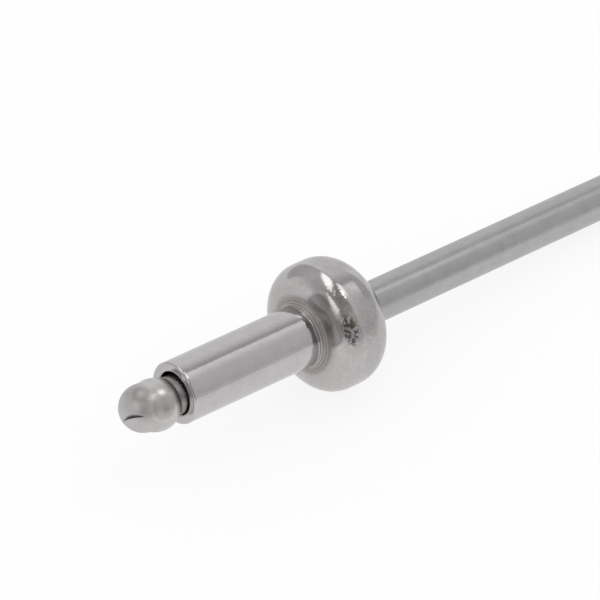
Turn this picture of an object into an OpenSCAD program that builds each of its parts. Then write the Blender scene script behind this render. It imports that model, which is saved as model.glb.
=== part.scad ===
// Blind rivet: a one-piece barrel with a thick round head, and the mandrel that runs through it.
// Lengths are in millimetres. The rivet is drawn upright, with the underside of the head at zero,
// the barrel below it and the mandrel's tail above it, and is then laid down on its rim and tail.

/* [Barrel] */
// Outside diameter of the barrel
barrel_d = 4.8; // [4.4:0.1:5.2]
// Length of the barrel from its open end to the underside of the head
barrel_len = 12.5; // [8:0.5:20]
// Rounding of the outer edge of the barrel's open end
mouth_round = 0.15; // [0.05:0.01:0.2]
// Rounding of the bore's edge at that end
bore_round = 0.2; // [0.05:0.01:0.3]
// Radius of the fillet where the barrel runs into the head
root_fillet = 0.5; // [0.35:0.05:0.6]
// Forming rings rolled into that fillet
root_rings = 4; // [2:1:5]
// Height of one forming ring
ring_height = 0.05; // [0.02:0.01:0.08]

/* [Head] */
// Diameter of the head at its widest
head_d = 10.1; // [9.6:0.1:11.4]
// Radius that turns the underside of the head up to its rim
under_round = 1.85; // [1.5:0.05:1.9]
// Straight height of the rim between its two roundings
rim_height = 1; // [0.2:0.1:1.5]
// Radius that turns the rim over to the crown
crown_round = 2.3; // [1.6:0.1:2.4]
// Chamfer round the hole in the crown
crown_chamfer = 0.2; // [0.1:0.05:0.4]

/* [Mandrel] */
// Diameter of the mandrel's shank
stem_d = 3.25; // [2.9:0.05:3.4]
// Gap between the shank and the wall of the bore, on each side
bore_gap = 0.04; // [0.03:0.01:0.15]
// Length of the crimped hole in the head that holds the shank
grip_len = 2.6; // [1.5:0.1:3.5]
// Depth to which the head is crimped into the shank, all round
crimp_depth = 0.18; // [0.17:0.01:0.25]
// Length of the crimped groove that shows past the crown
crimp_past = 0.2; // [0.1:0.05:0.5]
// Length of the shank that stands out past the crown, with its point
tail_len = 30.5; // [27:0.5:40]
// Length of the cone at the end of the tail
tail_cone = 1.3; // [0.6:0.1:2]
// Diameter of the flat at the very end of the tail
tail_flat_d = 1.4; // [0.8:0.1:2]
// Depth by which the neck behind the bulb is thinner than the shank, all round
neck_cut = 0.12; // [0.06:0.01:0.3]
// Share of its play in the bore by which the neck sits to the bulb's heavy side
neck_rest = 0.75; // [0:0.05:0.9]
// Depth of the notch at which the shank is made to snap, at the end of the neck
snap_depth = 0.45; // [0.35:0.05:0.7]
// Distance of that notch inside the barrel's open end
snap_inset = 2.4; // [1.5:0.1:5]

/* [Mandrel bulb] */
// Diameter of the rear part of the bulb, which pulls into the barrel
bulb_d = 3.95; // [3.8:0.05:4.4]
// Distance from the barrel's open end to the middle of the rear part
bulb_out = 1.8; // [1.5:0.05:2.2]
// Sideways set of the rear part, as the heading die left it
bulb_shift = 0.22; // [0:0.01:0.3]
// Turn of that sideways set about the rivet's axis, from the side that lies lowest
bulb_turn = 0; // [0:5:360]
// Diameter of the rounded nose in front of it
nose_d = 3.62; // [3.3:0.02:3.8]
// Distance from the middle of the rear part to the middle of the nose
nose_out = 1.1; // [0.8:0.05:1.3]

/* [Lap mark] */
// Depth of the lap mark pressed into the nose
lap_depth = 0.64; // [0.2:0.02:0.8]
// Width of the lap mark where it breaks the surface
lap_width = 0.22; // [0.1:0.02:0.5]
// Radius of the lap mark's floor, which sets how long it is
lap_floor_r = 2.9; // [2:0.1:4]
// Turn of the lap mark about the rivet's axis
lap_turn = 235; // [0:5:360]
// Angle between the nose's tip and the middle of the lap mark
lap_down = 20; // [0:2:45]
// Angle by which the lap mark misses the nose's tip
lap_lean = 3; // [0:1:20]
// Slant of the lap mark's cut from straight in
lap_slant = 46; // [0:2:60]

/* [Hidden] */
$fn = 96;

barrel_r = barrel_d / 2;
stem_r = stem_d / 2;
bore_r = stem_r + bore_gap;
neck_r = stem_r - neck_cut;
neck_shift = neck_rest * (bore_r - neck_r);
grip_r = stem_r - crimp_depth;
head_r = head_d / 2;
bulb_r = bulb_d / 2;
nose_r = nose_d / 2;
head_height = under_round + rim_height + crown_round;
grip_start = head_height - grip_len;
seat_r = head_r - under_round;
crown_flat_r = head_r - crown_round;
bulb_z = -barrel_len - bulb_out;
nose_z = bulb_z - nose_out;
snap_z = -barrel_len + snap_inset;
snap_r = stem_r - snap_depth;
tail_end = head_height + tail_len;
tail_base = tail_end - tail_cone;
tail_flat_r = tail_flat_d / 2;
arc_steps = 6;
ring_steps = 6;
through = 1;
// Turns of the seams at which the turned faces close, clear of the line on which the rivet lies
body_seam = 180;
shank_seam = 90;

// The rivet lies with the crown's rounding and the foot of the tail's cone on the floor.
rim_run = tail_base - (head_height - crown_round);
rim_rise = crown_flat_r - stem_r;
lay_tilt = atan2(rim_rise, rim_run) + asin(crown_round / norm([rim_run, rim_rise]));
lay_height = tail_base * sin(lay_tilt) + stem_r * cos(lay_tilt);
front_x = nose_z * cos(lay_tilt) - nose_r;
back_x = tail_end * cos(lay_tilt) + tail_flat_r * sin(lay_tilt);
steel = [0.72, 0.72, 0.71];
bright_steel = [0.8, 0.8, 0.79];

// Points of a circular arc in the plane of a turned profile.
function arc(centre, r, from, to, steps) = [
    for (i = [0 : steps])
        let (a = from + (to - from) * i / steps)
        centre + r * [cos(a), sin(a)]
];

// The fillet under the head, with its surface raised into rings that follow the barrel round.
function ringed_fillet() = [
    for (i = [0 : root_rings * ring_steps])
        let (turn = i / ring_steps)
        let (a = 180 - 90 * turn / root_rings)
        let (r = root_fillet - ring_height * pow(sin(180 * turn), 2))
        [barrel_r + root_fillet, -root_fillet] + r * [cos(a), sin(a)]
];

// A quarter of a disc between the directions of two axes.
module quarter(r, side) {
    intersection() {
        circle(r);
        translate([0, side < 0 ? -r : 0])
            square(r);
    }
}

// Barrel with its rounded mouth and the ringed fillet, up to a plug that the head takes in.
module barrel_blank() {
    edge = mouth_round;
    rotate_extrude()
        polygon(concat(
            [[0, -barrel_len]],
            arc([barrel_r - edge, -barrel_len + edge], edge, -90, 0, arc_steps),
            ringed_fillet(),
            [[barrel_r + root_fillet, under_round / 2], [0, under_round / 2]]
        ));
}

// Head with a flat seat, a rounded underside, a short straight rim and a rounded crown.
module head_blank() {
    rotate_extrude()
        union() {
            square([seat_r, head_height]);
            translate([seat_r, under_round])
                quarter(under_round, -1);
            translate([0, under_round])
                square([head_r, rim_height]);
            translate([0, under_round])
                square([crown_flat_r, rim_height + crown_round]);
            translate([crown_flat_r, head_height - crown_round])
                quarter(crown_round, 1);
        }
}

// Bore of the barrel with its rounded mouth, the crimped hole above it and the crown's chamfer.
module bore_cut() {
    edge = bore_round;
    rotate_extrude()
        polygon(concat(
            [[0, -barrel_len - through], [bore_r + edge, -barrel_len - through]],
            arc([bore_r + edge, -barrel_len + edge], edge, 270, 180, arc_steps),
            [
                [bore_r, grip_start - bore_gap],
                [stem_r, grip_start],
                [grip_r, grip_start],
                [grip_r, head_height - crown_chamfer],
                [grip_r + crown_chamfer, head_height],
                [grip_r + crown_chamfer, head_height + through],
                [0, head_height + through]
            ]
        ));
}

// Neck from the middle of the bulb to the root of the notch that lets it snap.
module neck() {
    rotate_extrude()
        polygon([
            [0, bulb_z],
            [neck_r, bulb_z],
            [neck_r, snap_z - (neck_r - snap_r)],
            [snap_r, snap_z],
            [0, snap_z]
        ]);
}

// Shank from that notch to the coned tail, with the groove that the head is crimped into.
module shank() {
    rotate_extrude()
        polygon([
            [0, snap_z],
            [snap_r, snap_z],
            [stem_r, snap_z + snap_depth],
            [stem_r, grip_start],
            [grip_r, grip_start],
            [grip_r, head_height + crimp_past],
            [stem_r, head_height + crimp_past],
            [stem_r, tail_base],
            [tail_flat_r, tail_end],
            [0, tail_end]
        ]);
}

// Wedge-edged disc whose rim, set into the nose, leaves a mark pointed at both ends.
module lap_cutter() {
    half_open = lap_floor_r * lap_width / (2 * lap_depth);
    translate([0, 0, nose_z])
        rotate([0, 0, lap_turn])
            rotate([lap_lean, -lap_down, 0])
                translate([0, 0, -nose_r])
                    rotate([-lap_slant, 0, 0])
                        translate([0, 0, lap_depth - lap_floor_r])
                            rotate([90, 0, 0])
                                rotate_extrude()
                                    polygon([[0, -half_open], [lap_floor_r, 0], [0, half_open]]);
}

// Lays a piece down from the upright, with its front end towards -X and the floor at zero.
module laid_down() {
    translate([-(front_x + back_x) / 2, 0, lay_height])
        rotate([0, 90 + lay_tilt, 0])
            children();
}

module rivet_body() {
    color(steel)
        laid_down()
            rotate([0, 0, body_seam])
                difference() {
                    union() {
                        barrel_blank();
                        head_blank();
                    }
                    bore_cut();
                }
}

module mandrel() {
    color(bright_steel)
        laid_down()
            difference() {
                union() {
                    rotate([0, 0, shank_seam])
                        shank();
                    rotate([0, 0, bulb_turn])
                        translate([neck_shift, 0, 0])
                            neck();
                    rotate([0, 0, bulb_turn])
                        translate([bulb_shift, 0, bulb_z])
                            sphere(bulb_r);
                    translate([0, 0, nose_z])
                        sphere(nose_r);
                }
                lap_cutter();
            }
}

rivet_body();
mandrel();
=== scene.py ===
import math

import bpy
from mathutils import Matrix, Vector


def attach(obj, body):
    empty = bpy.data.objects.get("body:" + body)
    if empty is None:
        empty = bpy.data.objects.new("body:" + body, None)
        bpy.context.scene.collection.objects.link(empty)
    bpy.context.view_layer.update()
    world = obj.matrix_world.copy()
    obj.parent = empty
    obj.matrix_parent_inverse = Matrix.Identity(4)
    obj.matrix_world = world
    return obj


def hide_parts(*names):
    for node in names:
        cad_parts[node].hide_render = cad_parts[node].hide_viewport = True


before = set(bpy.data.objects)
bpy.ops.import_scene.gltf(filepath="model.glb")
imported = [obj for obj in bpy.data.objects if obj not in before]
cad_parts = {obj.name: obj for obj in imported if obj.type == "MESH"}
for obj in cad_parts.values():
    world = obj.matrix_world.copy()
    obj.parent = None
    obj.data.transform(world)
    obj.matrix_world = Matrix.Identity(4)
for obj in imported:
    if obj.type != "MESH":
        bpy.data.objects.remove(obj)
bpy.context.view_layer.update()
mm = 0.001

# How the rivet lies: its axis slopes down to the tail, with the underside of the head at this place
lay = {
    "tilt": 6.22996,
    "headSeat": (-9.198187 * mm, 0.0, 5.343039 * mm),
}
layTurn = math.radians(90 + lay["tilt"])


# Turned profiles: each point is radius, height and depth of grain
def line(start, end, steps, grain=0.0, grainEnd=None):
    grainEnd = grain if grainEnd is None else grainEnd
    points = []
    for i in range(1, steps + 1):
        t = i / steps
        points.append((
            start[0] + (end[0] - start[0]) * t,
            start[1] + (end[1] - start[1]) * t,
            grain + (grainEnd - grain) * t,
        ))
    return points


def arc(centre, radius, start, end, steps, grain=0.0, grainEnd=None):
    grainEnd = grain if grainEnd is None else grainEnd
    points = []
    for i in range(steps + 1):
        t = i / steps
        a = math.radians(start + (end - start) * t)
        points.append((
            centre[0] + radius * math.cos(a),
            centre[1] + radius * math.sin(a),
            grain + (grainEnd - grain) * t,
        ))
    return points


def profileMesh(name, points):
    mesh = bpy.data.meshes.new(name)
    mesh.from_pydata([(r * mm, 0.0, z * mm) for r, z, _ in points],
                     [(i, i + 1) for i in range(len(points) - 1)], [])
    grain = mesh.attributes.new("grain", "FLOAT", "POINT")
    for i, point in enumerate(points):
        grain.data[i].value = point[2]
    piece = bpy.data.objects.new(name, mesh)
    bpy.context.scene.collection.objects.link(piece)
    return piece


def addNode(tree, kind, inputs=None, **settings):
    made = tree.nodes.new(kind)
    for name, value in settings.items():
        setattr(made, name, value)
    for key, value in (inputs or {}).items():
        socket = made.inputs[key]
        if isinstance(value, bpy.types.NodeSocket):
            tree.links.new(value, socket)
        else:
            socket.default_value = value
    return made


def calc(tree, operation, *values):
    made = addNode(tree, "ShaderNodeMath", dict(enumerate(values)), operation=operation)
    return made.outputs[0]


def product(tree, *values):
    result = values[0]
    for value in values[1:]:
        result = calc(tree, "MULTIPLY", result, value)
    return result


def weighted(tree, first, firstWeight, second, secondWeight):
    return calc(tree, "ADD", calc(tree, "MULTIPLY", first, firstWeight),
                calc(tree, "MULTIPLY", second, secondWeight))


def vectorCalc(tree, operation, first, second=None, scale=None):
    inputs = {0: first}
    if second is not None:
        inputs[1] = second
    if scale is not None:
        inputs["Scale"] = scale
    made = addNode(tree, "ShaderNodeVectorMath", inputs, operation=operation)
    measures = operation in ("LENGTH", "DISTANCE", "DOT_PRODUCT")
    return made.outputs["Value" if measures else "Vector"]


def noise(tree, vector, scale, detail, roughness, seed=None):
    inputs = {"Vector": vector, "Scale": scale, "Detail": detail, "Roughness": roughness}
    if seed is not None:
        inputs["W"] = seed
    made = addNode(tree, "ShaderNodeTexNoise", inputs, noise_dimensions="3D" if seed is None else "4D")
    return made.outputs["Fac"]


def remap(tree, value, fromLow, fromHigh, toLow=0.0, toHigh=1.0, smooth=True):
    made = addNode(tree, "ShaderNodeMapRange", {
        "Value": value, "From Min": fromLow, "From Max": fromHigh, "To Min": toLow, "To Max": toHigh,
    }, interpolation_type="SMOOTHSTEP" if smooth else "LINEAR")
    return made.outputs["Result"]


def blend(tree, share, low, high):
    return addNode(tree, "ShaderNodeMix", {"Factor": share, "A": low, "B": high}).outputs["Result"]


def blendColour(tree, share, low, high, way="MIX"):
    return addNode(tree, "ShaderNodeMix", {
        "Factor": share, "A": low, "B": high,
    }, data_type="RGBA", blend_type=way).outputs["Result"]


def greyRamp(tree, value, stops):
    ramp = addNode(tree, "ShaderNodeValToRGB", {"Fac": value})
    elements = ramp.color_ramp.elements
    for i, (at, bright) in enumerate(stops):
        element = elements[i] if i < 2 else elements.new(at)
        element.position = at
        element.color = (bright, bright, bright, 1.0)
    return ramp.outputs["Color"]


# What every turned piece shares: the gap in mm below which points are welded, how its grain is mixed
# from a coarse and a fine noise, and the bend in degrees from which an edge stays sharp
turning = {
    "weld": 0.0005,
    "coarseScale": 0.35, "coarseDetail": 1.0, "coarseRoughness": 0.5, "coarseWeight": 2.2,
    "fineDetail": 2.0, "fineRoughness": 0.45,
    "sharpBend": 38,
}


def turnedTree():
    tree = bpy.data.node_groups.new("turnedPiece", "GeometryNodeTree")
    tree.is_modifier = True
    face = tree.interface
    for name, kind in (
        ("Profile", "NodeSocketGeometry"), ("Segments", "NodeSocketInt"), ("Points", "NodeSocketInt"),
        ("Grain Depth", "NodeSocketFloat"), ("Grain Size", "NodeSocketFloat"), ("Seed", "NodeSocketFloat"),
        ("Bulb Radius", "NodeSocketFloat"), ("Bulb Height", "NodeSocketFloat"),
        ("Bulb Shift", "NodeSocketFloat"), ("Bulb Blend", "NodeSocketFloat"),
        ("Neck Shift", "NodeSocketFloat"), ("Neck End", "NodeSocketFloat"),
        ("Lap Cutter", "NodeSocketObject"), ("Lay Turn", "NodeSocketFloat"),
        ("Lay Place", "NodeSocketVector"), ("Steel", "NodeSocketMaterial"),
    ):
        face.new_socket(name, in_out="INPUT", socket_type=kind)
    face.new_socket("Piece", in_out="OUTPUT", socket_type="NodeSocketGeometry")
    given = addNode(tree, "NodeGroupInput").outputs

    # a grid whose columns go round the axis and whose rows follow the profile
    grid = addNode(tree, "GeometryNodeMeshGrid", {
        "Vertices X": calc(tree, "ADD", given["Segments"], 1), "Vertices Y": given["Points"],
    })
    index = addNode(tree, "GeometryNodeInputIndex").outputs[0]
    column = calc(tree, "FLOOR", calc(tree, "DIVIDE", index, given["Points"]))
    row = calc(tree, "SUBTRACT", index, calc(tree, "MULTIPLY", column, given["Points"]))
    position = addNode(tree, "GeometryNodeInputPosition").outputs[0]

    def fromProfile(kind, value):
        return addNode(tree, "GeometryNodeSampleIndex", {
            "Geometry": given["Profile"], "Value": value, "Index": row,
        }, data_type=kind).outputs[0]

    def profileValue(name):
        stored = addNode(tree, "GeometryNodeInputNamedAttribute", {"Name": name}, data_type="FLOAT")
        return fromProfile("FLOAT", stored.outputs["Attribute"])

    place = addNode(tree, "ShaderNodeSeparateXYZ", {0: fromProfile("FLOAT_VECTOR", position)}).outputs
    angle = calc(tree, "MULTIPLY", calc(tree, "DIVIDE", column, given["Segments"]), 2 * math.pi)

    # the rear of the bulb is a ball set a little sideways, so its reach from the axis changes round it
    sideways = calc(tree, "MULTIPLY", given["Bulb Shift"], calc(tree, "SINE", angle))
    along = calc(tree, "SUBTRACT", place["Z"], given["Bulb Height"])
    square = calc(tree, "SUBTRACT", product(tree, given["Bulb Radius"], given["Bulb Radius"]),
                  calc(tree, "ADD", product(tree, along, along), product(tree, sideways, sideways)))
    reach = calc(tree, "ADD", calc(tree, "MULTIPLY", given["Bulb Shift"], calc(tree, "COSINE", angle)),
                 calc(tree, "SQRT", calc(tree, "MAXIMUM", square, 0.0)))
    onNeck = calc(tree, "MULTIPLY", calc(tree, "GREATER_THAN", place["Z"], given["Bulb Height"]),
                  calc(tree, "LESS_THAN", place["Z"], given["Neck End"]))
    neckSide = calc(tree, "MULTIPLY", given["Neck Shift"], calc(tree, "COSINE", angle))
    own = calc(tree, "ADD", place["X"], calc(tree, "MULTIPLY", onNeck, neckSide))
    blended = calc(tree, "SMOOTH_MAX", own, reach, given["Bulb Blend"])
    inReach = calc(tree, "MULTIPLY", calc(tree, "GREATER_THAN", square, 0.0),
                   calc(tree, "GREATER_THAN", given["Bulb Radius"], 0.0))
    radius = addNode(tree, "GeometryNodeSwitch", {"Switch": inReach, "False": own, "True": blended},
                     input_type="FLOAT").outputs[0]
    goesTo = addNode(tree, "ShaderNodeCombineXYZ", {
        0: calc(tree, "MULTIPLY", radius, calc(tree, "COSINE", angle)),
        1: calc(tree, "MULTIPLY", radius, calc(tree, "SINE", angle)),
        2: place["Z"],
    }).outputs[0]
    stored = addNode(tree, "GeometryNodeStoreNamedAttribute", {
        "Geometry": grid.outputs["Mesh"], "Name": "grain", "Value": profileValue("grain"),
    }, data_type="FLOAT", domain="POINT").outputs[0]
    rounded = addNode(tree, "GeometryNodeSetPosition", {"Geometry": stored, "Position": goesTo})
    closed = addNode(tree, "GeometryNodeMergeByDistance", {
        "Geometry": rounded.outputs[0], "Distance": turning["weld"] * mm,
    }).outputs[0]

    # the grain of the metal, pushed in and out along the surface's own direction
    grain = addNode(tree, "GeometryNodeInputNamedAttribute", {"Name": "grain"},
                    data_type="FLOAT").outputs["Attribute"]
    scale = calc(tree, "DIVIDE", 1, given["Grain Size"])
    coarse = noise(tree, position, calc(tree, "MULTIPLY", scale, turning["coarseScale"]),
                   turning["coarseDetail"], turning["coarseRoughness"], given["Seed"])
    fine = noise(tree, position, scale, turning["fineDetail"], turning["fineRoughness"], given["Seed"])
    coarse = calc(tree, "MULTIPLY", calc(tree, "SUBTRACT", coarse, 0.5), turning["coarseWeight"])
    both = calc(tree, "ADD", coarse, calc(tree, "SUBTRACT", fine, 0.5))
    height = product(tree, both, grain, given["Grain Depth"])
    normal = addNode(tree, "GeometryNodeInputNormal").outputs[0]
    grained = addNode(tree, "GeometryNodeSetPosition", {
        "Geometry": closed, "Offset": vectorCalc(tree, "SCALE", normal, scale=height),
    }).outputs[0]

    # the lap mark is cut by the mesh of the object handed in, and without one the piece stays whole
    cutter = addNode(tree, "GeometryNodeObjectInfo", {"Object": given["Lap Cutter"]}).outputs["Geometry"]
    hasCutter = calc(tree, "GREATER_THAN", addNode(
        tree, "GeometryNodeAttributeDomainSize", {"Geometry": cutter}, component="MESH",
    ).outputs["Point Count"], 0)
    cut = addNode(tree, "GeometryNodeMeshBoolean", operation="DIFFERENCE", solver="EXACT")
    tree.links.new(grained, cut.inputs["Mesh 1"])
    tree.links.new(cutter, cut.inputs["Mesh 2"])
    whole = addNode(tree, "GeometryNodeSwitch", {
        "Switch": hasCutter, "False": grained, "True": cut.outputs["Mesh"],
    }, input_type="GEOMETRY").outputs[0]

    # faces are smooth up to the real edges, and the piece is laid down
    smooth = addNode(tree, "GeometryNodeSetShadeSmooth", {"Geometry": whole, "Shade Smooth": True},
                     domain="FACE").outputs[0]
    bend = addNode(tree, "GeometryNodeInputMeshEdgeAngle").outputs["Unsigned Angle"]
    edged = addNode(tree, "GeometryNodeSetShadeSmooth", {
        "Geometry": smooth, "Shade Smooth": False,
        "Selection": calc(tree, "GREATER_THAN", bend, math.radians(turning["sharpBend"])),
    }, domain="EDGE").outputs[0]
    laid = addNode(tree, "GeometryNodeTransform", {
        "Geometry": edged, "Translation": given["Lay Place"],
        "Rotation": addNode(tree, "ShaderNodeCombineXYZ", {1: given["Lay Turn"]}).outputs[0],
    }).outputs[0]
    real = addNode(tree, "GeometryNodeRealizeInstances", {"Geometry": laid}).outputs[0]
    steel = addNode(tree, "GeometryNodeSetMaterial", {"Geometry": real, "Material": given["Steel"]})
    out = addNode(tree, "NodeGroupOutput")
    tree.links.new(steel.outputs[0], out.inputs[0])
    return tree


lathe = turnedTree()


def turnPiece(name, profile, sizes):
    modifier = profile.modifiers.new("turned", "NODES")
    modifier.node_group = lathe
    sockets = {s.name: s.identifier for s in lathe.interface.items_tree if s.in_out == "INPUT"}
    for key, value in sizes.items():
        modifier[sockets[key]] = value
    modifier[sockets["Points"]] = len(profile.data.vertices)
    modifier[sockets["Lay Turn"]] = layTurn
    modifier[sockets["Lay Place"]] = lay["headSeat"]
    seen = profile.evaluated_get(bpy.context.evaluated_depsgraph_get())
    mesh = bpy.data.meshes.new_from_object(seen)
    mesh.name = name
    profile.modifiers.remove(modifier)
    bpy.data.objects.remove(profile)
    piece = bpy.data.objects.new(name, mesh)
    bpy.context.scene.collection.objects.link(piece)
    triangles = sum(len(p.vertices) - 2 for p in mesh.polygons)
    print("made", name, len(mesh.vertices), "points", triangles, "triangles")
    return piece


def rivetSpace(tree):
    # millimetres in the rivet's own upright place: z along its axis, from the underside of the head
    given = addNode(tree, "ShaderNodeTexCoord").outputs["Object"]
    return addNode(tree, "ShaderNodeMapping", {
        "Vector": given, "Location": lay["headSeat"], "Rotation": (0.0, layTurn, 0.0), "Scale": (mm, mm, mm),
    }, vector_type="TEXTURE").outputs[0]


def drawnNoise(tree, local, grain):
    # noise drawn out along the axis, as a die leaves it
    vector = vectorCalc(tree, "MULTIPLY", local, (grain["across"], grain["across"], grain["along"]))
    return noise(tree, vector, 1.0, grain["detail"], grain["roughness"])


def facing(tree, across, turn):
    # how far a point's side of the axis agrees with the side at this turn, 1 where it is the same
    a = math.radians(turn)
    return vectorCalc(tree, "DOT_PRODUCT", across, (math.cos(a), math.sin(a), 0.0))


def tinted(tree, colour, tint, share):
    return blendColour(tree, share, colour, tint, "MULTIPLY")


def calmed(tree, tone, share):
    # a tone with its contrast brought down to this share
    return calc(tree, "ADD", 0.5, calc(tree, "MULTIPLY", calc(tree, "SUBTRACT", tone, 0.5), share))


def steelMaterial(name):
    material = bpy.data.materials.new(name)
    material.use_nodes = True
    tree = material.node_tree
    shader = tree.nodes["Principled BSDF"]
    shader.inputs["Metallic"].default_value = 1.0
    return material, tree, shader


def finishSteel(tree, shader, colour, rough, relief, bump):
    tree.links.new(colour, shader.inputs["Base Color"])
    tree.links.new(rough, shader.inputs["Roughness"])
    raised = addNode(tree, "ShaderNodeBump", {
        "Height": relief, "Strength": bump["strength"], "Distance": bump["depth"] * mm,
    })
    tree.links.new(raised.outputs[0], shader.inputs["Normal"])


# The body's steel. A pair of numbers is where a mark starts and where it is full: in mm from the axis
# (reach) or along it (height, foot, top), in agreement with its turn (facing), or in a noise's value.
bodyFinish = {
    "light": (0.605, 0.587, 0.589, 1.0), "dark": (0.505, 0.488, 0.49, 1.0),
    "headHeight": (-0.7, 0.3),
    "blotch": {"scale": 0.9, "detail": 3.0, "roughness": 0.6}, "blotchWeight": 0.6,
    "speckle": {"scale": 6.0, "detail": 3.0, "roughness": 0.6}, "speckleWeight": 0.4,
    "stain": (0.38, 0.62), "barrelCalm": 0.4,
    "crumple": {"scale": 3.4, "detail": 2.0, "roughness": 0.6}, "crumpleRelief": 9.0,
    "pits": {"scale": 14.0, "detail": 2.0, "roughness": 0.5}, "pitsRelief": 0.4,
    "waver": {"scale": 3.2, "detail": 2.0, "roughness": 0.5}, "waverRelief": 0.85,
    "draw": {"across": 9.0, "along": 0.25, "detail": 3.0, "roughness": 0.6}, "drawRelief": 0.1,
    "barrelRoughness": 0.045, "drawRoughness": 0.05, "headRoughness": 0.12,
    "seat": {"reach": (4.0, 3.3), "roughness": 0.3},
    # painted shade in the fillet under the head, with its roughness there
    "shadedFillet": {"tint": (0.77, 0.73, 0.715, 1.0), "reach": (3.35, 2.95), "foot": (-0.62, -0.4),
              "top": (0.2, 0.1), "crest": (2.0, 0.0), "roughness": 0.5},
    # a painted dark reflection on the near side of the underside
    "darkReflection": {"tint": (0.56, 0.54, 0.54, 1.0), "turn": 220.0, "facing": (0.74, 0.97),
             "edgeHeight": (-0.12, 0.5), "reach": (3.0, 3.5), "pastEdge": (0.12, -0.1)},
    "crown": {"tint": (0.92, 0.915, 0.92, 1.0), "height": (1.7, 2.1)},
    "scuff": {"tint": (0.3, 0.29, 0.28, 1.0), "turn": 239.5, "radius": 4.8, "height": 0.82,
              "length": 1.42, "width": 0.7, "ragged": 0.6, "away": (1.45, 0.95), "crumple": (0.46, 0.54)},
    "leather": {"turn": 285.0, "facing": (0.2, 0.75), "roughness": 0.1, "relief": 0.9, "elsewhere": 0.12},
    "rimStain": {"tint": (0.86, 0.82, 0.79, 1.0), "turn": 214.0, "facing": (0.89, 0.95),
                 "foot": (0.5, 0.75), "top": (1.75, 1.45), "crumple": (0.3, 0.55), "relief": 0.35},
    "tarnish": {"tint": (0.9, 0.87, 0.845, 1.0), "turn": 140.0, "facing": (0.75, 0.95),
                "blotch": (0.48, 0.6)},
    "bump": {"strength": 0.35, "depth": 0.02},
}


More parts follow.
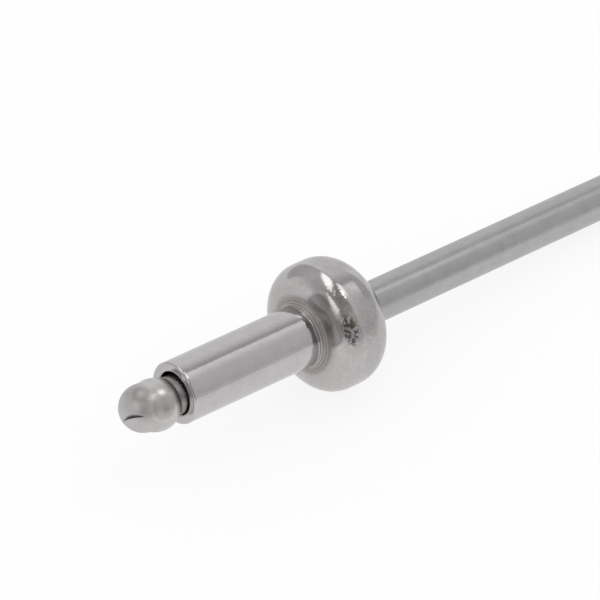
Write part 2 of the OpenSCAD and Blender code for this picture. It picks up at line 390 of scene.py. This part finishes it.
def bodySteel():
    b = bodyFinish
    material, tree, shader = steelMaterial("polishedBodySteel")
    local = rivetSpace(tree)
    place = addNode(tree, "ShaderNodeSeparateXYZ", {0: local}).outputs
    height = place["Z"]
    flat = addNode(tree, "ShaderNodeCombineXYZ", {0: place["X"], 1: place["Y"]}).outputs[0]
    reach = vectorCalc(tree, "LENGTH", flat)
    across = vectorCalc(tree, "NORMALIZE", flat)
    onHead = remap(tree, height, *b["headHeight"])
    blotch = noise(tree, local, **b["blotch"])
    speckle = noise(tree, local, **b["speckle"])
    crumple = noise(tree, local, **b["crumple"])
    pits = noise(tree, local, **b["pits"])
    waver = noise(tree, local, **b["waver"])
    draw = drawnNoise(tree, local, b["draw"])
    stain = weighted(tree, blotch, b["blotchWeight"], speckle, b["speckleWeight"])
    tone = remap(tree, stain, *b["stain"])
    share = blend(tree, onHead, calmed(tree, tone, b["barrelCalm"]), tone)
    colour = blendColour(tree, share, b["dark"], b["light"])

    # painted shade in the fillet under the head, lighter on the crests of its rings
    shadedFillet = b["shadedFillet"]
    centre = body["barrelRadius"] + body["rootFillet"]
    climb = calc(tree, "ARCTAN2", calc(tree, "ADD", height, body["rootFillet"]),
                 calc(tree, "SUBTRACT", centre, reach))
    wave = calc(tree, "SINE", calc(tree, "MULTIPLY", climb, 2.0 * body["rootRings"]))
    crest = calc(tree, "MULTIPLY", wave, wave)
    inFillet = product(tree, remap(tree, reach, *shadedFillet["reach"]), remap(tree, height, *shadedFillet["foot"]),
                       remap(tree, height, *shadedFillet["top"]))
    onFilletShade = product(tree, inFillet, remap(tree, crest, *shadedFillet["crest"]))
    colour = tinted(tree, colour, shadedFillet["tint"], onFilletShade)

    # a painted dark reflection on the near side of the underside, up to an edge that climbs where it faces
    # this reflection's turn
    darkReflection = b["darkReflection"]
    edge = remap(tree, facing(tree, across, darkReflection["turn"]), *darkReflection["facing"], *darkReflection["edgeHeight"])
    onDarkReflection = product(tree, remap(tree, reach, *darkReflection["reach"]),
                     remap(tree, calc(tree, "SUBTRACT", height, edge), *darkReflection["pastEdge"]))
    colour = tinted(tree, colour, darkReflection["tint"], onDarkReflection)
    colour = tinted(tree, colour, b["crown"]["tint"], remap(tree, height, *b["crown"]["height"]))

    # a scuffed patch on the rim
    scuff = b["scuff"]
    turn = addNode(tree, "ShaderNodeMapping", {
        "Vector": local, "Rotation": (0.0, 0.0, -math.radians(scuff["turn"])),
        "Location": (-scuff["radius"], 0.0, -scuff["height"]),
    }, vector_type="POINT").outputs[0]
    spread = (1 / scuff["width"], 1 / scuff["length"], 1 / scuff["width"])
    away = vectorCalc(tree, "LENGTH", vectorCalc(tree, "MULTIPLY", turn, spread))
    ragged = calc(tree, "ADD", away, calc(tree, "MULTIPLY", crumple, scuff["ragged"]))
    onScuff = remap(tree, ragged, *scuff["away"])
    dark = remap(tree, crumple, *scuff["crumple"])
    colour = tinted(tree, colour, scuff["tint"], product(tree, onScuff, dark))

    # a leathery skin on the lower side of the head, a stain on the rim, tarnish there and on the far side
    leather, stained, tarnish = b["leather"], b["rimStain"], b["tarnish"]
    lowSide = remap(tree, facing(tree, across, leather["turn"]), *leather["facing"])
    onLeather = product(tree, lowSide, onHead)
    onRim = product(tree, remap(tree, facing(tree, across, stained["turn"]), *stained["facing"]),
                    remap(tree, height, *stained["foot"]), remap(tree, height, *stained["top"]))
    rimShare = product(tree, onRim, remap(tree, crumple, *stained["crumple"]))
    colour = tinted(tree, colour, stained["tint"], rimShare)
    farSide = remap(tree, facing(tree, across, tarnish["turn"]), *tarnish["facing"])
    onTarnish = product(tree, onHead, calc(tree, "MAXIMUM", onLeather, farSide),
                        remap(tree, blotch, *tarnish["blotch"]))
    colour = tinted(tree, colour, tarnish["tint"], onTarnish)

    roughBarrel = calc(tree, "ADD", b["barrelRoughness"], calc(tree, "MULTIPLY", draw, b["drawRoughness"]))
    onSeat = calc(tree, "MULTIPLY", remap(tree, reach, *b["seat"]["reach"]), b["seat"]["roughness"])
    dull = calc(tree, "MAXIMUM", calc(tree, "MULTIPLY", inFillet, shadedFillet["roughness"]), onSeat)
    roughHead = calc(tree, "ADD", b["headRoughness"], calc(
        tree, "ADD", calc(tree, "MULTIPLY", onLeather, leather["roughness"]), dull))
    rough = blend(tree, onHead, roughBarrel, roughHead)

    # draw lines and a slight waver on the barrel, orange peel on the head, and the crumpled marks
    lines = product(tree, weighted(tree, draw, b["drawRelief"], waver, b["waverRelief"]),
                    calc(tree, "SUBTRACT", 1.0, onHead))
    skin = calc(tree, "ADD", speckle, calc(tree, "MULTIPLY", pits, b["pitsRelief"]))
    peel = product(tree, skin, onHead, calc(
        tree, "ADD", leather["elsewhere"], calc(tree, "MULTIPLY", onLeather, leather["relief"])))
    marks = calc(tree, "MAXIMUM", onScuff, calc(tree, "MULTIPLY", onRim, stained["relief"]))
    crumpled = product(tree, crumple, marks, b["crumpleRelief"])
    relief = calc(tree, "ADD", calc(tree, "ADD", lines, peel), crumpled)
    finishSteel(tree, shader, colour, rough, relief, b["bump"])
    return material


# The mandrel's steel, with pairs of heights and noise values as above, and each patch of painted light and
# shade at its own place
wireFinish = {
    "light": (0.513, 0.505, 0.508, 1.0), "dark": (0.418, 0.41, 0.413, 1.0),
    "bulbLight": (0.645, 0.633, 0.627, 1.0), "bulbDark": (0.53, 0.52, 0.515, 1.0),
    "shankHeight": (-13.2, -12.8),
    "blotch": {"scale": 1.1, "detail": 3.0, "roughness": 0.6}, "blotchWeight": 0.5,
    "scratch": {"across": 14.0, "along": 0.2, "detail": 4.0, "roughness": 0.65}, "scratchWeight": 0.5,
    "stain": (0.38, 0.62), "calm": 0.5,
    # painted light on the neck where it leaves the bore
    "neck": {"tint": (1.5, 1.47, 1.45, 1.0), "foot": (-13.15, -12.95), "top": (-12.0, -12.3)},
    # painted shade and painted highlights on the bulb
    "paintedReflections": (
        {"at": (-1.66, -0.25, -15.95), "size": 0.66, "soft": 0.22, "tint": (0.68, 0.68, 0.675, 1.0)},
        {"at": (-1.5, -0.98, -15.18), "size": 0.27, "soft": 0.14, "tint": (1.27, 1.24, 1.21, 1.0)},
        {"at": (-0.82, -1.6, -14.82), "size": 1.24, "soft": 0.16, "tint": (1.08, 1.065, 1.05, 1.0)},
        {"at": (-0.82, -1.6, -14.82), "size": 0.99, "soft": 0.045, "tint": (0.82, 0.825, 0.83, 1.0)},
    ),
    "bulbRoughness": 0.27, "noseRoughness": 0.42, "noseHeight": (-14.9, -15.3),
    "shankRoughness": 0.23, "stainRoughness": 0.08,
    "bump": {"strength": 0.4, "depth": 0.01},
}


def wireSteel():
    w = wireFinish
    material, tree, shader = steelMaterial("drawnWireSteel")
    local = rivetSpace(tree)
    height = addNode(tree, "ShaderNodeSeparateXYZ", {0: local}).outputs["Z"]
    onShank = remap(tree, height, *w["shankHeight"])
    scratch = drawnNoise(tree, local, w["scratch"])
    blotch = noise(tree, local, **w["blotch"])
    stain = weighted(tree, blotch, w["blotchWeight"], scratch, w["scratchWeight"])
    tone = calmed(tree, remap(tree, stain, *w["stain"]), w["calm"])
    colour = blendColour(tree, onShank, blendColour(tree, tone, w["bulbDark"], w["bulbLight"]),
                         blendColour(tree, tone, w["dark"], w["light"]))
    # painted light: the neck at the mouth of the bore is made lighter
    neck = w["neck"]
    onNeck = product(tree, remap(tree, height, *neck["foot"]), remap(tree, height, *neck["top"]))
    colour = tinted(tree, colour, neck["tint"], onNeck)

    # painted reflections on the bulb: a painted shade patch on the nose, a painted highlight by the crease,
    # and a darker disc in a lighter ring on the rear ball
    for patch in w["paintedReflections"]:
        away = vectorCalc(tree, "DISTANCE", local, patch["at"])
        outer, inner = patch["size"] + patch["soft"], patch["size"] - patch["soft"]
        colour = tinted(tree, colour, patch["tint"], remap(tree, away, outer, inner))

    satin = remap(tree, height, *w["noseHeight"], w["bulbRoughness"], w["noseRoughness"])
    rough = calc(tree, "ADD", blend(tree, onShank, satin, w["shankRoughness"]),
                 calc(tree, "MULTIPLY", stain, w["stainRoughness"]))
    finishSteel(tree, shader, colour, rough, calc(tree, "MULTIPLY", scratch, onShank), w["bump"])
    return material


# Barrel and head, one turned piece with a through hole
body = {
    "barrelRadius": 2.4, "barrelLength": 12.5, "mouthRound": 0.15,
    "rootFillet": 0.5, "rootRings": 4, "ringHeight": 0.05,
    "headRadius": 5.05, "underRound": 1.85, "rimHeight": 1.0, "crownRound": 2.3, "crownChamfer": 0.2,
    "boreRadius": 1.665, "boreRound": 0.2, "gripRadius": 1.445, "gripLength": 2.6, "gripDepth": 0.18,
    "boreStep": 0.04, "ringSteps": 10, "ringGrain": 0.3,
    "segments": 320, "grainDepth": 0.009, "grainSize": 0.5, "seed": 3.0,
}


def bodyProfile():
    b = body
    edge, inner, length, outer = b["mouthRound"], b["boreRound"], b["barrelLength"], b["barrelRadius"]
    under, head, crown, fillet = b["underRound"], b["headRadius"], b["crownRound"], b["rootFillet"]
    top = under + b["rimHeight"] + crown
    seat, crownFlat = head - under, head - crown
    bore, hole, chamfer = b["boreRadius"], b["gripRadius"], b["crownChamfer"]
    gripStart, gripEdge = top - b["gripLength"], hole + b["gripDepth"]
    mouth = -length + edge
    # the mouth and the barrel
    points = arc((bore + inner, inner - length), inner, 180, 270, steps=12)
    points += arc((outer - edge, mouth), edge, 270, 360, steps=8, grain=0.4, grainEnd=0.1)
    points += line((outer, mouth), (outer, -fillet), steps=70, grain=0.05)
    # the fillet with its forming rings
    for i in range(1, b["rootRings"] * b["ringSteps"] + 1):
        turn = i / b["ringSteps"]
        a = math.radians(180 - 90 * turn / b["rootRings"])
        r = fillet - b["ringHeight"] * math.sin(math.pi * turn) ** 2
        points.append((outer + fillet + r * math.cos(a), -fillet + r * math.sin(a), b["ringGrain"]))
    # the head: its seat, underside, rim and crown
    points += line((outer + fillet, 0), (seat, 0), steps=3, grain=0.3, grainEnd=0.4)
    points += arc((seat, under), under, -90, 0, steps=44, grain=0.5, grainEnd=1.0)[1:]
    points += line((head, under), (head, under + b["rimHeight"]), steps=14, grain=1.0)
    points += arc((crownFlat, top - crown), crown, 0, 90, steps=50, grain=1.0, grainEnd=0.4)[1:]
    points += line((crownFlat, top), (hole + chamfer, top), steps=12, grain=0.4)
    # back through the crimped hole and the bore
    points += line((hole + chamfer, top), (hole, top - chamfer), steps=2)
    points += line((hole, top - chamfer), (hole, gripStart), steps=3)
    points += line((hole, gripStart), (gripEdge, gripStart), steps=1)
    points += line((gripEdge, gripStart), (bore, gripStart - b["boreStep"]), steps=1)
    points += line((bore, gripStart - b["boreStep"]), (bore, inner - length), steps=24)
    return points


rivetBody = turnPiece("rivetBody", profileMesh("bodyProfile", bodyProfile()), {
    "Segments": body["segments"], "Grain Depth": body["grainDepth"] * mm,
    "Grain Size": body["grainSize"] * mm, "Seed": body["seed"], "Steel": bodySteel(),
})

# Mandrel: nose, rear of the bulb, shank with its notch and crimp, and the coned tail
pin = {
    "shankRadius": 1.625, "bulbRadius": 1.975, "noseRadius": 1.81, "bulbZ": -14.3, "noseZ": -15.4,
    "bulbShift": 0.22, "bulbBlend": 0.3, "neckRadius": 1.505, "neckShift": 0.12,
    "snapZ": -10.1, "snapDepth": 0.45, "gripStart": 2.55, "gripRadius": 1.445, "gripEnd": 5.35,
    "tailBase": 34.35, "tailEnd": 35.65, "tailFlat": 0.7,
    "segments": 256, "grainDepth": 0.012, "grainSize": 0.6, "seed": 11.0,
}


def pinProfile():
    # the ball at the rear of the bulb is added by the tree, so the profile has the nose and the shank
    p = pin
    r, thin, grip = p["shankRadius"], p["neckRadius"], p["gripRadius"]
    notch = r - p["snapDepth"]
    noseEnd = math.degrees(math.acos(thin / p["noseRadius"]))
    neck = p["noseZ"] + p["noseRadius"] * math.sin(math.radians(noseEnd))
    bulbEnd = p["bulbZ"] + p["bulbRadius"]
    snapFoot, snapTop = p["snapZ"] - (thin - notch), p["snapZ"] + p["snapDepth"]
    points = arc((0, p["noseZ"]), p["noseRadius"], -90, noseEnd, steps=96, grain=1.0)
    points += line((thin, neck), (thin, bulbEnd), steps=84, grain=1.0, grainEnd=0.4)
    points += line((thin, bulbEnd), (thin, snapFoot), steps=8, grain=0.2)
    points += line((thin, snapFoot), (notch, p["snapZ"]), steps=2)
    points += line((notch, p["snapZ"]), (r, snapTop), steps=2)
    points += line((r, snapTop), (r, p["gripStart"]), steps=12)
    points += line((r, p["gripStart"]), (grip, p["gripStart"]), steps=1)
    points += line((grip, p["gripStart"]), (grip, p["gripEnd"]), steps=4)
    points += line((grip, p["gripEnd"]), (r, p["gripEnd"]), steps=1)
    points += line((r, p["gripEnd"]), (r, p["tailBase"]), steps=110, grain=0.25)
    points += line((r, p["tailBase"]), (p["tailFlat"], p["tailEnd"]), steps=10, grain=0.2)
    points += line((p["tailFlat"], p["tailEnd"]), (0, p["tailEnd"]), steps=4)
    return points


lapMark = {
    "depth": 0.64, "width": 0.22, "floorRadius": 2.9, "sides": 160,
    "turn": 235.0, "down": 20.0, "lean": 3.0, "tilt": -46.0,
}


def lapCutter():
    # a wedge-edged disc whose rim, set into the nose, leaves a mark pointed at both ends
    lap = lapMark
    halfOpen = lap["floorRadius"] * lap["width"] / (2 * lap["depth"])
    disc = bpy.data.meshes.new("lapCutter")
    points = [(0.0, 0.0, -halfOpen), (0.0, 0.0, halfOpen)]
    faces = []
    count = lap["sides"]
    for i in range(count):
        a = 2 * math.pi * i / count
        points.append((lap["floorRadius"] * math.cos(a), lap["floorRadius"] * math.sin(a), 0.0))
        here, following = 2 + i, 2 + (i + 1) % count
        faces += [(0, following, here), (1, here, following)]
    disc.from_pydata(points, [], faces)
    turns = (
        Matrix.Translation((0, 0, pin["noseZ"]))
        @ Matrix.Rotation(math.radians(lap["turn"]), 4, "Z")
        @ Matrix.Rotation(-math.radians(lap["down"]), 4, "Y")
        @ Matrix.Rotation(math.radians(lap["lean"]), 4, "X")
        @ Matrix.Translation((0, 0, -pin["noseRadius"]))
        @ Matrix.Rotation(math.radians(lap["tilt"]), 4, "X")
        @ Matrix.Translation((0, 0, lap["depth"] - lap["floorRadius"]))
        @ Matrix.Rotation(math.radians(90), 4, "X")
    )
    disc.transform(Matrix.Scale(mm, 4) @ turns)
    cutter = bpy.data.objects.new("lapCutter", disc)
    bpy.context.scene.collection.objects.link(cutter)
    return cutter


cutter = lapCutter()
mandrel = turnPiece("rivetMandrel", profileMesh("pinProfile", pinProfile()), {
    "Segments": pin["segments"], "Grain Depth": pin["grainDepth"] * mm,
    "Grain Size": pin["grainSize"] * mm, "Seed": pin["seed"], "Steel": wireSteel(),
    "Bulb Radius": pin["bulbRadius"] * mm, "Bulb Height": pin["bulbZ"] * mm,
    "Bulb Shift": pin["bulbShift"] * mm, "Bulb Blend": pin["bulbBlend"] * mm,
    "Neck Shift": pin["neckShift"] * mm, "Neck End": pin["snapZ"] * mm,
    "Lap Cutter": cutter,
})
bpy.data.objects.remove(cutter)

for piece, node, slotName in (
    (rivetBody, "rivet_body", "body_steel"),
    (mandrel, "mandrel", "mandrel_steel"),
):
    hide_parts(node)
    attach(piece, "root")
print("pieces ride")

# Floor: white to the camera apart from a soft shadow, and a pale card of limited depth to the metal
stage = {
    "floorSide": 6.0,
    "floorColour": (0.93, 0.93, 0.93, 1.0),
    "whiteShare": 0.84,
    "nearEdge": -0.10,
    "farEdge": 0.06,
    "cardStops": ((0.0, 0.58), (0.33, 0.58), (0.38, 0.79), (0.48, 0.84), (0.55, 0.89), (0.6, 0.9),
                  (0.66, 0.84), (0.74, 0.74), (1.0, 0.78)),
}
white = (1.0, 1.0, 1.0, 1.0)


def makeFloor():
    half = stage["floorSide"] / 2
    mesh = bpy.data.meshes.new("floor")
    corners = [(-half, -half, 0), (half, -half, 0), (half, half, 0), (-half, half, 0)]
    mesh.from_pydata(corners, [], [(0, 1, 2, 3)])
    floor = bpy.data.objects.new("floor", mesh)
    bpy.context.scene.collection.objects.link(floor)
    material = bpy.data.materials.new("paleFloor")
    material.use_nodes = True
    tree = material.node_tree
    tree.nodes.clear()
    diffuse = addNode(tree, "ShaderNodeBsdfDiffuse", {"Color": stage["floorColour"]})
    path = addNode(tree, "ShaderNodeLightPath").outputs
    across = addNode(tree, "ShaderNodeSeparateXYZ", {
        0: addNode(tree, "ShaderNodeTexCoord").outputs["Object"],
    }).outputs["Y"]
    depth = remap(tree, across, stage["nearEdge"], stage["farEdge"], smooth=False)
    card = greyRamp(tree, depth, stage["cardStops"])
    seen = blendColour(tree, path["Is Glossy Ray"], white, card)
    glow = addNode(tree, "ShaderNodeEmission", {"Color": seen, "Strength": 1.0})
    shown = calc(tree, "MAXIMUM", path["Is Camera Ray"], path["Is Glossy Ray"])
    share = calc(tree, "MULTIPLY", shown, stage["whiteShare"])
    mixed = addNode(tree, "ShaderNodeMixShader", {0: share, 1: diffuse.outputs[0], 2: glow.outputs[0]})
    addNode(tree, "ShaderNodeOutputMaterial", {"Surface": mixed.outputs[0]})
    mesh.materials.append(material)


makeFloor()

# Light room: what the metal mirrors, by degrees round the rivet's length from the far side over the top.
# Three strips follow each other from the bulb's side to the tail's, and cards lie over them.
room = {
    "tailward": (
        (0, 0.8), (15, 0.82), (35, 0.85), (45, 0.83), (52, 0.79), (58, 0.745), (64, 0.68), (70, 0.59),
        (75, 0.5), (84, 0.46), (88.5, 0.92), (97, 0.92), (104, 0.84), (111, 0.77), (118, 0.71),
        (126, 0.67), (141, 0.65), (160, 0.62), (172, 0.6), (180, 0.585),
    ),
    "overhead": (
        (0, 0.53), (22, 0.54), (37, 0.58), (50, 0.6), (67, 0.55), (80, 0.5), (88, 0.42), (97, 0.36),
        (112, 0.34), (127, 0.4), (140, 0.56), (157, 0.56), (168, 0.46), (175, 0.36), (180, 0.42),
    ),
    "tipward": (
        (0, 0.78), (15, 0.75), (30, 0.66), (45, 0.54), (60, 0.5), (75, 0.5), (85, 0.46), (97, 0.4),
        (112, 0.4), (127, 0.38), (138, 0.28), (150, 0.22), (165, 0.24), (180, 0.4),
    ),
    "overheadFrom": -0.42, "overheadTo": -0.28, "tailwardFrom": 0.42, "tailwardTo": 0.5,
    "cards": (
        {"along": (-1.2, -0.9), "round": (-20, 200), "bright": 0.6, "lean": 0.0, "soft": 0.06},
        {"along": (-0.26, 0.4), "round": (62, 83), "bright": 1.9, "lean": -33.0, "soft": 0.03},
        {"along": (0.5, 0.614), "round": (81, 107), "bright": 1.6, "lean": 0.0, "soft": 0.013},
        {"along": (-0.9, -0.6), "round": (88, 120), "bright": 1.4, "lean": -50.0, "soft": 0.04},
        {"along": (0.74, 1.2), "round": (60, 130), "bright": 0.55, "lean": 0.0, "soft": 0.03},
    ),
    "softDegrees": 4.0,
    "strength": 1.0,
}


def makeRoom():
    world = bpy.data.worlds.new("lightRoom")
    bpy.context.scene.world = world
    world.use_nodes = True
    tree = world.node_tree
    tree.nodes.clear()
    way = addNode(tree, "ShaderNodeSeparateXYZ", {
        0: addNode(tree, "ShaderNodeTexCoord").outputs["Generated"],
    }).outputs
    halfTurns = calc(tree, "DIVIDE", calc(tree, "ARCTAN2", way["Z"], way["Y"]), math.pi)
    strips = [greyRamp(tree, halfTurns, [(degrees / 180, bright) for degrees, bright in room[strip]])
              for strip in ("tipward", "overhead", "tailward")]
    mirrored = strips[0]
    for strip, side in ((strips[1], "overhead"), (strips[2], "tailward")):
        past = remap(tree, way["X"], room[side + "From"], room[side + "To"])
        mirrored = blendColour(tree, past, mirrored, strip)
    degreesRound = calc(tree, "MULTIPLY", halfTurns, 180)
    for card in room["cards"]:
        (low, high), (start, end) = card["along"], card["round"]
        soft, softRound, bright = card["soft"], room["softDegrees"], card["bright"]
        leaning = calc(tree, "MULTIPLY", calc(tree, "SUBTRACT", way["X"], (low + high) / 2), card["lean"])
        level = calc(tree, "SUBTRACT", degreesRound, leaning)
        share = product(
            tree,
            remap(tree, way["X"], low - soft, low + soft),
            remap(tree, way["X"], high + soft, high - soft),
            remap(tree, level, start - softRound, start + softRound),
            remap(tree, level, end + softRound, end - softRound),
        )
        mirrored = blendColour(tree, share, mirrored, (bright, bright, bright, 1.0))
    path = addNode(tree, "ShaderNodeLightPath").outputs
    seen = blendColour(tree, path["Is Glossy Ray"], white, mirrored)
    back = addNode(tree, "ShaderNodeBackground", {"Color": seen, "Strength": room["strength"]})
    addNode(tree, "ShaderNodeOutputWorld", {"Surface": back.outputs[0]})


makeRoom()

# One weak soft box, which gives the shadow its side; its way is seen from the head's seat
lamps = (
    {"name": "softBox", "way": (0.4, -0.2, 0.9), "away": 0.9, "width": 0.24, "height": 0.2, "power": 0.36},
)


def makeLamps():
    target = Vector(lay["headSeat"])
    for lamp in lamps:
        light = bpy.data.lights.new(lamp["name"], "AREA")
        light.shape = "RECTANGLE"
        light.size, light.size_y = lamp["width"], lamp["height"]
        light.energy = lamp["power"]
        way = Vector(lamp["way"]).normalized()
        made = bpy.data.objects.new(lamp["name"], light)
        made.location = target + way * lamp["away"]
        made.rotation_euler = (-way).to_track_quat("-Z", "Y").to_euler()
        bpy.context.scene.collection.objects.link(made)


makeLamps()

# The photo's camera, aimed near the head; its heading is turned from +X towards +Y
view = {
    "aim": (-8.219 * mm, 1.326 * mm, 7.331 * mm), "elevation": 39.555, "heading": 48.374,
    "distance": 326.093 * mm, "lens": 264.38, "sensor": 36.0, "clipNear": 0.01, "clipFar": 20.0,
}


def makeCamera():
    up, turn = math.radians(view["elevation"]), math.radians(view["heading"])
    forward = Vector((math.cos(up) * math.cos(turn), math.cos(up) * math.sin(turn), -math.sin(up)))
    lens = bpy.data.cameras.new("camera")
    lens.lens, lens.sensor_width = view["lens"], view["sensor"]
    lens.clip_start, lens.clip_end = view["clipNear"], view["clipFar"]
    camera = bpy.data.objects.new("camera", lens)
    camera.location = Vector(view["aim"]) - forward * view["distance"]
    camera.rotation_euler = forward.to_track_quat("-Z", "Y").to_euler()
    bpy.context.scene.collection.objects.link(camera)
    bpy.context.scene.camera = camera


makeCamera()
bpy.context.scene.view_settings.view_transform = "Standard"
print("stage ready")
